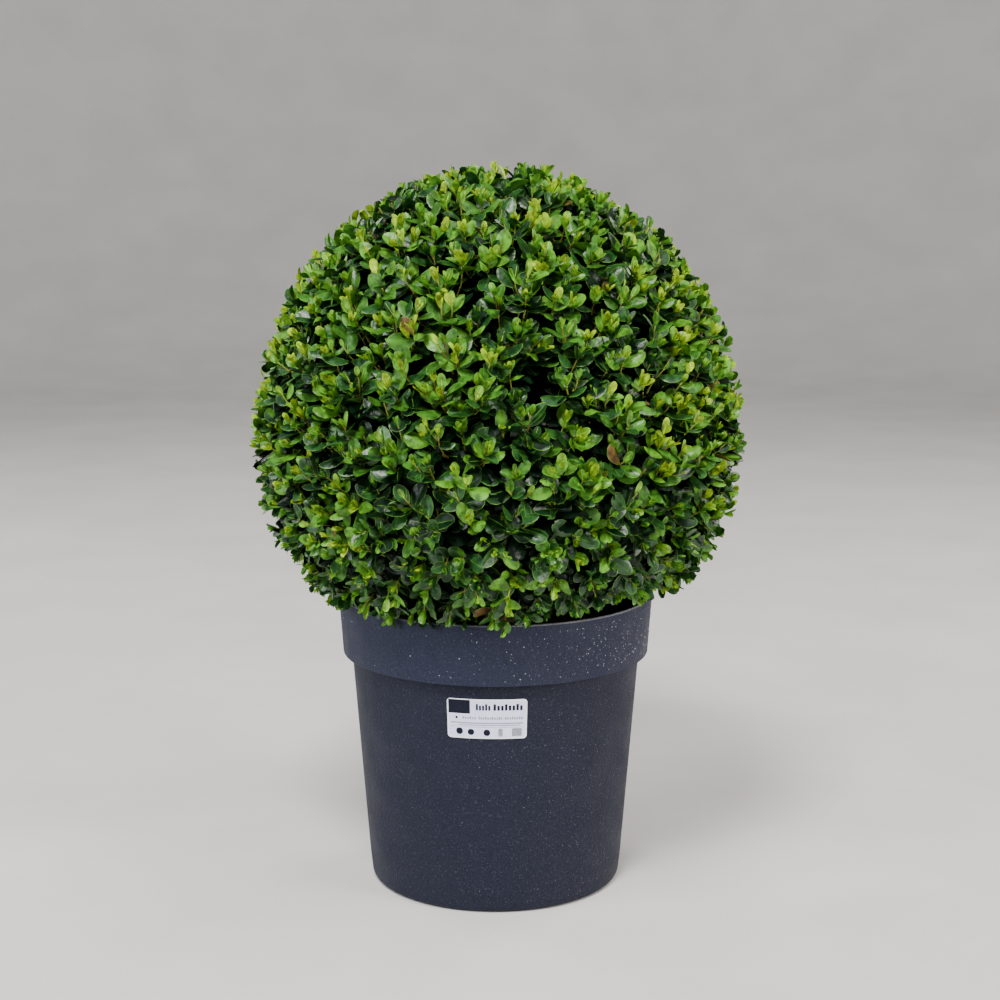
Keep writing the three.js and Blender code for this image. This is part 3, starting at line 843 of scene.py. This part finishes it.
# %% Leaf shapes
def leaf_shape(name, rows, fold, curl, notch, creased):
    """A leaf one unit long from its stalk along X. rows: (along, half width). fold lifts the edges."""
    points, faces = [], []
    for side in (1.0, -1.0):
        base = len(points)
        points.append((0.0, 0.0, 0.0))
        for along, half in rows:
            droop = -curl * along ** 2
            back = notch if along == rows[-1][0] else 0.0
            points += [(along - back, 0.0, droop), (along, side * half, droop + fold * half)]
        half_faces = [(base, base + 1, base + 2)]
        half_faces += [(a, a + 2, a + 3, a + 1) for a in range(base + 1, base + 2 * len(rows) - 1, 2)]
        faces += half_faces if side > 0 else [tuple(reversed(face)) for face in half_faces]
    made = mesh_object(name, points, faces)
    if not creased:
        joined = bmesh.new()
        joined.from_mesh(made.data)
        bmesh.ops.remove_doubles(joined, verts=joined.verts, dist=1e-5)
        joined.to_mesh(made.data)
        joined.free()
    return made


CUPPED = {"rows": [(0.07, 0.050), (0.26, 0.195), (0.50, 0.290), (0.72, 0.270), (0.90, 0.160), (0.985, 0.055)],
          "fold": 0.26, "curl": 0.12}
DOMED = {"rows": [(0.06, 0.055), (0.24, 0.210), (0.48, 0.305), (0.71, 0.282), (0.90, 0.168), (0.985, 0.058)],
         "fold": -0.46, "curl": 0.17}
YOUNG = {"rows": [(0.10, 0.070), (0.34, 0.195), (0.62, 0.250), (0.86, 0.190), (0.975, 0.08)],
         "fold": 0.42, "curl": -0.06}
INNER = {"rows": [(0.14, 0.08), (0.58, 0.30), (0.95, 0.13)], "fold": -0.15, "curl": 0.12}
cupped_leaf = leaf_shape("cupped_leaf", **CUPPED, notch=0.03, creased=True)
domed_leaf = leaf_shape("domed_leaf", **DOMED, notch=0.03, creased=False)
young_leaf = leaf_shape("young_leaf", **YOUNG, notch=0.0, creased=True)
inner_leaf = leaf_shape("inner_leaf", **INNER, notch=0.02, creased=False)
print("faces of a domed leaf:", len(domed_leaf.data.polygons))

# %% [markdown]
# A grown leaf has a thin pale margin, where the skin of its two sides meets, and a pale rib down its
# middle. They are narrow strips that fit the leaf shape and are placed by the same spots and turns.

# %% Margin and rib shapes
def leaf_margin(name, rows, fold, curl, notch, width):
    """A strip just outside the outline of a leaf shape with the same numbers."""
    last = rows[-1][0]
    line = [(along, half) for along, half in rows] + [(last - notch, 0.0)]
    line += [(along, -half) for along, half in reversed(rows)]
    points = []
    for i, (x, y) in enumerate(line):
        before, after = line[max(i - 1, 0)], line[min(i + 1, len(line) - 1)]
        run = Vector((after[0] - before[0], after[1] - before[1])).normalized()
        height = -curl * min(x, last) ** 2 + fold * abs(y)
        points += [(x, y, height), (x - run.y * width, y + run.x * width, height + fold * width)]
    faces = [(2 * i, 2 * i + 2, 2 * i + 3, 2 * i + 1) for i in range(len(line) - 1)]
    return mesh_object(name, points, faces)


def leaf_rib(name, curl, width, lift):
    points, faces = [], []
    for i, along in enumerate((0.0, 0.3, 0.6, 0.88)):
        half = width * (1.0 - 0.75 * along) / 2.0
        height = -curl * along ** 2 + lift
        points += [(along, half, height), (along, -half, height)]
        if i:
            faces.append((2 * i - 2, 2 * i - 1, 2 * i + 1, 2 * i))
    return mesh_object(name, points, faces)


cupped_margin = leaf_margin("cupped_margin", **CUPPED, notch=0.03, width=0.017)
domed_margin = leaf_margin("domed_margin", **DOMED, notch=0.03, width=0.016)
cupped_rib = leaf_rib("cupped_rib", CUPPED["curl"], 0.040, 0.008)
domed_rib = leaf_rib("domed_rib", DOMED["curl"], 0.030, 0.004)
young_rib = leaf_rib("young_rib", YOUNG["curl"], 0.045, 0.010)
print("faces of a margin:", len(domed_margin.data.polygons))

# %% The tree that sets a leaf on each spot
leaf_tree, given = new_tree("leaves_on_spots", [("Leaf", "Object")])
pattern = add_node(leaf_tree, "GeometryNodeObjectInfo", {"Object": given["Leaf"]}).outputs["Geometry"]
turned_by = add_node(leaf_tree, "FunctionNodeEulerToRotation", {0: named(leaf_tree, "turn", "FLOAT_VECTOR")})
place = add_node(leaf_tree, "GeometryNodeInstanceOnPoints", {
    "Points": given["Geometry"], "Instance": pattern, "Rotation": turned_by,
    "Scale": named(leaf_tree, "size", "FLOAT_VECTOR")})
end_tree(leaf_tree, given, place)


def leaves(name, spots, along, upper, size, leaf, material):
    """One piece of leaves: where each stalk starts, where it points, its upper side and its size."""
    across = unit(np.cross(upper, along))
    upper = np.cross(along, across)
    turn = np.stack([np.arctan2(across[:, 2], upper[:, 2]),
                     np.arctan2(-along[:, 2], np.hypot(along[:, 0], along[:, 1])),
                     np.arctan2(along[:, 1], along[:, 0])], axis=1)
    holder = mesh_object(name + "_spots", spots, [])
    for label, values in (("turn", turn), ("size", size)):
        attribute = holder.data.attributes.new(label, "FLOAT_VECTOR", "POINT")
        attribute.data.foreach_set("vector", values.ravel())
    made = grown_mesh(name, holder, leaf_tree, {"Leaf": leaf, "Material": material})
    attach(made, "root")
    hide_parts("foliage_ball")
    print("%s: %d leaves, %d faces" % (name, len(spots), len(made.data.polygons)))


# %% [markdown]
# ## Where the leaves sit
# Box leaves stand in pairs, each pair turned a quarter from the one before. The pair at the tip is
# small and nearly closed, and each lower pair is larger and opens wider. Every leaf keeps inside
# the ball's outline and clear of the pot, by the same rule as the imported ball.

# %% Leaf pairs on the shoots
#         back from the tip, length, spread in degrees
PAIRS = [(0.0010, 0.0086, 17.0), (0.0034, 0.0123, 31.0), (0.0080, 0.0167, 42.0),
         (0.0140, 0.0196, 55.0), (0.0215, 0.0211, 65.0), (0.0300, 0.0216, 74.0)]
PAIR_LOOSENESS = 0.20
FACE_LOOSENESS = 0.18
LEAF_SPREAD = 0.14
SIDES_FROM = 0.6
SIDES_TO_EDGE = 0.35
SIDE_SHRINK = 0.16
LOW_SHRINK = 0.20
LOW_SHRINK_HEIGHT = 0.11
TIP_SHARE = 1.018


def side_frame(axes):
    """Two directions across each axis."""
    helper = np.where(np.abs(axes[:, 2:3]) > 0.9, [[1.0, 0.0, 0.0]], [[0.0, 0.0, 1.0]])
    first = unit(np.cross(axes, helper))
    return first, np.cross(axes, first)


def tilted(axes, first, second, around, spread):
    """The direction that leans from each axis by spread, towards the angle around."""
    out = first * np.cos(around)[:, None] + second * np.sin(around)[:, None]
    cos, sin = np.cos(spread)[:, None], np.sin(spread)[:, None]
    return axes * cos + out * sin, axes * sin - out * cos


shoots = len(shoot_tips)
first, second = side_frame(shoot_axes)
shoot_turn = rng.uniform(0.0, math.pi, shoots)
shoot_vigour = rng.normal(1.0, LEAF_SPREAD, shoots).clip(0.7, 1.2)
sideways = np.abs(shoot_tips[:, 0] - BALL_CENTRE[0]) / BALL_HALF[0]
below = (BALL_CENTRE[2] - shoot_tips[:, 2]) / LOW_SHRINK_HEIGHT
shoot_vigour *= 1.0 - SIDE_SHRINK * np.clip((sideways - SIDES_FROM) / SIDES_TO_EDGE, 0.0, 1.0)
shoot_vigour *= 1.0 - LOW_SHRINK * np.clip(below, 0.0, 1.0)
spots, along, upper, length, level, owner = [], [], [], [], [], []
for number, (back, size, spread) in enumerate(PAIRS):
    for side in (0.0, math.pi):
        around = shoot_turn + number * math.pi / 2.0 + side + rng.normal(0.0, PAIR_LOOSENESS, shoots)
        leaning = np.radians(spread * rng.normal(1.0, LEAF_SPREAD, shoots).clip(0.6, 1.4))
        leaf_along, leaf_upper = tilted(shoot_axes, first, second, around, leaning)
        spots.append(shoot_tips - shoot_axes * back * shoot_vigour[:, None])
        along.append(leaf_along)
        upper.append(unit(leaf_upper + rng.normal(0.0, FACE_LOOSENESS, (shoots, 3))))
        length.append(size * (shoot_vigour * rng.normal(1.0, LEAF_SPREAD, shoots)).clip(0.55, 1.17))
        level.append(np.full(shoots, number))
        owner.append(np.arange(shoots))
spots, along, upper, length, level, owner = map(np.concatenate, (spots, along, upper, length, level, owner))
ends = spots + along * length[:, None]
within = share_of_ball(ends) <= TIP_SHARE + fuller_below(unit(ends - BALL_CENTRE)[:, 2])
inside = within & (ends[:, 2] >= lowest_z(ends)) & (spots[:, 2] >= lowest_z(spots))
print("leaves kept: %d of %d" % (inside.sum(), len(inside)))

# %% [markdown]
# ## Colours dealt out by spray
# A shoot's newest leaves are yellow green and its oldest deep green, and some shoots have just
# sprouted while others rest. So each spray draws an age, which some of its shoots draw again, and
# the age with the pair's place gives the shade. Each shade is one plain finish on its own piece:
# glossy, with veins too fine to show.

# %% Leaf shades
#         colour, sheen
SHADES = {
    "young": ((0.285, 0.445, 0.019), 0.16), "bright": ((0.155, 0.355, 0.021), 0.26),
    "light": ((0.082, 0.240, 0.017), 0.28), "fresh": ((0.041, 0.148, 0.013), 0.35),
    # dark and deep are partly the old leaves' own deep green and partly painted shade: near black, for the
    # low pairs deep in the sprays.
    "mid": ((0.0110, 0.060, 0.0100), 0.48), "dark": ((0.0036, 0.0215, 0.0062), 0.36),
    "deep": ((0.0017, 0.0090, 0.0028), 0.12), "dry": ((0.115, 0.062, 0.018), 0.18)}
MOTTLING = (0.46, 1.50)
AGES = {
    "sprouting": "young young light fresh dark deep", "growing": "young bright light mid deep deep",
    "resting": "bright light fresh mid deep deep", "old": "light mid mid dark deep deep"}
# Low on the ball the ages lean old and dark: partly real, as fewer shoots sprout in the shade below, and
# partly painted shade on the lower ball.
HIGH_SHARES = np.array([0.27, 0.31, 0.25, 0.17])
LOW_SHARES = np.array([0.03, 0.17, 0.35, 0.45])
YOUTH_AND_PAINTED_LIGHT_AT_TOP = 1.15
YOUTH_AT_SIDES = 0.9
OWN_AGE_SHARE = 0.4
DRY_SHARE = 0.0026
shade_names = list(SHADES)


def leaf_finish(shade, color, sheen=0.18):
    made = finish("leaf_" + shade, color, 0.34, Specular_IOR_Level=sheen)
    low, high = (tuple(c * share for c in color) for share in MOTTLING)
    vary(made, "Base Color", 175.0, 5.0, [(0.36, low), (0.64, high)])
    blisters = bump(made, 230.0, 1.0, 0.0016, 0.36)
    bump(made, 650.0, 2.0, 0.0003, 0.3, below=blisters)
    return made


leaf_finishes = [leaf_finish(shade, *values) for shade, values in SHADES.items()]
# Higher shoots are younger and lighter, lower ones older and darker: partly real growth, partly painted shade
# low down.
height_share = (shoot_tips[:, 2] - UNDERSIDE_Z) / (2.0 * (BALL_CENTRE[2] - UNDERSIDE_Z))
youth_and_painted_light = YOUTH_AND_PAINTED_LIGHT_AT_TOP * height_share.clip(0.0, 1.0) + YOUTH_AT_SIDES * (sideways - SIDES_FROM)
youth_and_painted_light = youth_and_painted_light.clip(0.0, 1.0)[:, None]
age_shares = LOW_SHARES * (1.0 - youth_and_painted_light) + HIGH_SHARES * youth_and_painted_light
lot = np.where(rng.random(shoots) < OWN_AGE_SHARE, rng.random(shoots), rng.random(SPRAY_COUNT)[shoot_spray])
shoot_age = (np.cumsum(age_shares, axis=1) < lot[:, None]).sum(axis=1)
shade_table = np.array([[shade_names.index(shade) for shade in row.split()] for row in AGES.values()])
leaf_shade = shade_table[shoot_age[owner].clip(0, len(AGES) - 1), level]
dried = (rng.random(len(owner)) < DRY_SHARE) & (level > 1)
leaf_shade = np.where(dried, shade_names.index("dry"), leaf_shade)
print("shades:", dict(zip(shade_names, np.bincount(leaf_shade[inside]).tolist())))

# %% Leaves on the shoots
YOUNG_PAIRS = 2
DOMED_SHARE = 0.6
WIDTH_SHARE = 0.97
width = length * WIDTH_SHARE * rng.normal(0.98, 0.1, len(length)).clip(0.75, 1.12)
size = np.stack([length, width, length * rng.uniform(0.6, 1.5, len(length))], axis=1)
is_young = level < YOUNG_PAIRS
is_domed = ~is_young & (rng.random(len(length)) < DOMED_SHARE)
is_cupped = ~is_young & ~is_domed


def chosen_leaves(name, chosen, leaf, material):
    """The leaves that are chosen and keep inside the ball, as one piece if there are any."""
    chosen = inside & chosen
    if chosen.any():
        leaves(name, spots[chosen], along[chosen], upper[chosen], size[chosen], leaf, material)


for number, shade in enumerate(shade_names):
    for form, leaf, fits in (("folded", young_leaf, is_young), ("cupped", cupped_leaf, is_cupped),
                             ("domed", domed_leaf, is_domed)):
        of_shade = fits & (leaf_shade == number)
        chosen_leaves("%s_%s_leaves" % (shade, form), of_shade, leaf, leaf_finishes[number])

# %% Margins and ribs
margin_finish = leaf_finish("margin", (0.105, 0.255, 0.030))
rib_finish = leaf_finish("rib", (0.085, 0.215, 0.022))
young_rib_finish = leaf_finish("young_rib", (0.46, 0.55, 0.08))
with_margin = (level == 2) | (level == 3)
trims = [("cupped_margins", cupped_margin, margin_finish, is_cupped & with_margin),
         ("domed_margins", domed_margin, margin_finish, is_domed & with_margin),
         ("cupped_ribs", cupped_rib, rib_finish, is_cupped & (level <= 4)),
         ("domed_ribs", domed_rib, rib_finish, is_domed & (level <= 3)),
         ("young_ribs", young_rib, young_rib_finish, is_young)]
for name, shape, trim_finish, fits in trims:
    chosen_leaves(name, fits, shape, trim_finish)

# %% [markdown]
# ## The shaded leaves inside
# Behind the shoots a real ball holds years of older leaves in its own shade, so the eye meets dark
# green and not the far side. They are simpler, lie every way, and share the darkest colour: partly
# the old leaves' own deep green and partly painted shade.

# %% Inner leaves
INNER_COUNT = 6000
INNER_SHARES = (0.68, 0.86)
INNER_LENGTHS = (0.018, 0.025)
INNER_LOOSENESS = 0.45
OPEN_RADIUS = 0.05
# Painted shade: the inner leaves' near-black colour stands for the shade inside the ball.
inner_painted_shade_finish = leaf_finish("shaded", (0.0013, 0.0068, 0.0019), 0.05)
inner_at = on_ball(even_directions(INNER_COUNT), rng.uniform(*INNER_SHARES, INNER_COUNT))
inner_at[:, 2] = np.maximum(inner_at[:, 2], UNDERSIDE_Z + 0.006 + 0.02 * rng.random(INNER_COUNT))
inner_out = unit(inner_at - BALL_CENTRE)
inner_upper = unit(inner_out + rng.normal(0.0, INNER_LOOSENESS, (INNER_COUNT, 3)))
inner_along = unit(np.cross(inner_upper, rng.normal(0.0, 1.0, (INNER_COUNT, 3))))
inner_length = rng.uniform(*INNER_LENGTHS, INNER_COUNT)
inner_ends = inner_at + inner_along * inner_length[:, None]
kept = (inner_ends[:, 2] >= lowest_z(inner_ends)) & (np.hypot(inner_at[:, 0], inner_at[:, 1]) > OPEN_RADIUS)
inner_size = np.repeat(inner_length[:, None], 3, axis=1)
leaves("inner_leaves", inner_at[kept], inner_along[kept], inner_upper[kept], inner_size[kept],
       inner_leaf, inner_painted_shade_finish)
for pattern_leaf in (cupped_leaf, domed_leaf, young_leaf, inner_leaf, cupped_margin, domed_margin,
                     cupped_rib, domed_rib, young_rib):
    bpy.data.objects.remove(pattern_leaf)

# %% [markdown]
# ## The soil
# Potting soil is dark, crumbly and rough, and it shows only in the gap under the ball. The bed is a
# turned solid whose top is lifted and lowered by noise, under a finish with crumbs of three shades.

# %% Soil bed
soil_low, soil_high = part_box("potting_soil")
SOIL_TOP = soil_high.z - 0.002
SOIL_RADIUS = soil_high.x
SOIL_FOOT = soil_low.z
SOIL_FOOT_RADIUS = body_radius(SOIL_FOOT) - WALL - 0.0004
SOIL_LIFT = 0.0018
soil_finish = finish("potting_soil", (0.03, 0.018, 0.011), 0.9)
vary(soil_finish, "Base Color", 320.0, 6.0, [
    (0.3, (0.010, 0.006, 0.004)), (0.6, (0.034, 0.021, 0.013)), (0.85, (0.085, 0.055, 0.032))])
bump(soil_finish, 420.0, 6.0, 0.0025, 0.9)
soil_profile = [(0.0, SOIL_FOOT), (SOIL_FOOT_RADIUS, SOIL_FOOT),
                (SOIL_RADIUS - 0.0072, LEDGE_Z), (SOIL_RADIUS, SOIL_TOP)]
soil_profile += [(r, SOIL_TOP) for r in np.linspace(SOIL_RADIUS - 0.004, 0.004, 30)]
soil_profile.append((0.0, SOIL_TOP))
soil = turned("soil_bed", soil_profile, 96, soil_finish)
for vertex in soil.data.vertices:
    if vertex.co.z > SOIL_TOP - 0.0001:
        lumps = noise.fractal(vertex.co * 90.0, 0.8, 2.1, 5)
        vertex.co.z += SOIL_LIFT * max(-1.0, min(1.0, lumps))
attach(soil, "root")
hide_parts("potting_soil")
print("soil top at %.0f mm" % (SOIL_TOP * 1000))

# %% [markdown]
# ## Floor and light
# The studio is a pale floor that bends up all round the plant, so that no edge shows. The photograph's
# light is broad and comes from high in front, with a bright sky all round, so the lamps are large:
# a key high in front, weaker fills at both sides, one above, and two behind for the rims.

# %% Floor
FLOOR_RADIUS = 3.2
FLOOR_BEND = 1.6
WALL_TOP = 5.0
floor_finish = finish("pale_floor", (0.70, 0.685, 0.665), 0.7)
vary(floor_finish, "Base Color", 6.0, 4.0, [(0.3, (0.665, 0.65, 0.63)), (0.7, (0.735, 0.72, 0.70))])
bump(floor_finish, 120.0, 4.0, 0.0008, 0.15)
floor_profile = [(FLOOR_RADIUS + FLOOR_BEND, WALL_TOP)]
floor_profile += arc(FLOOR_RADIUS, FLOOR_BEND, FLOOR_BEND, 0.0, -90.0, 16) + [(0.0, 0.0)]
floor = turned("studio_floor", floor_profile, 96, floor_finish)
print("floor %.1f m across" % (2.0 * FLOOR_RADIUS))

# %% Lamps and sky
BALL_MIDDLE = Vector((0.0, 0.0, 0.32))
SKY_STRENGTH = 0.19


def lamp(name, place, size, power, color):
    data = bpy.data.lights.new(name, "AREA")
    data.size = size
    data.energy = power
    data.color = color
    made = in_scene(name, data)
    made.location = place
    made.rotation_euler = (BALL_MIDDLE - Vector(place)).to_track_quat("-Z", "Y").to_euler()
    return made


lamps = [
    lamp("key", (-0.40, -1.62, 2.48), 0.65, 93.0, (1.0, 0.98, 0.94)),
    lamp("fill", (2.0, -1.25, 0.95), 1.0, 47.0, (1.0, 0.96, 0.92)),
    lamp("fill_left", (-2.0, -1.1, 1.0), 1.0, 36.0, (0.84, 0.92, 1.0)),
    lamp("top", (0.9, -0.6, 2.2), 0.9, 8.0, (1.0, 0.99, 0.96)),
    lamp("rim_left", (-1.5, 1.3, 1.5), 0.9, 18.0, (1.0, 0.98, 0.93)),
    lamp("rim_right", (1.5, 1.3, 1.5), 0.9, 18.0, (1.0, 0.94, 0.88))]
world = bpy.data.worlds.new("pale_sky")
bpy.context.scene.world = world
world.use_nodes = True
sky = world.node_tree.nodes["Background"]
sky.inputs["Color"].default_value = (0.92, 0.95, 1.0, 1.0)
sky.inputs["Strength"].default_value = SKY_STRENGTH
print("lamps:", len(lamps))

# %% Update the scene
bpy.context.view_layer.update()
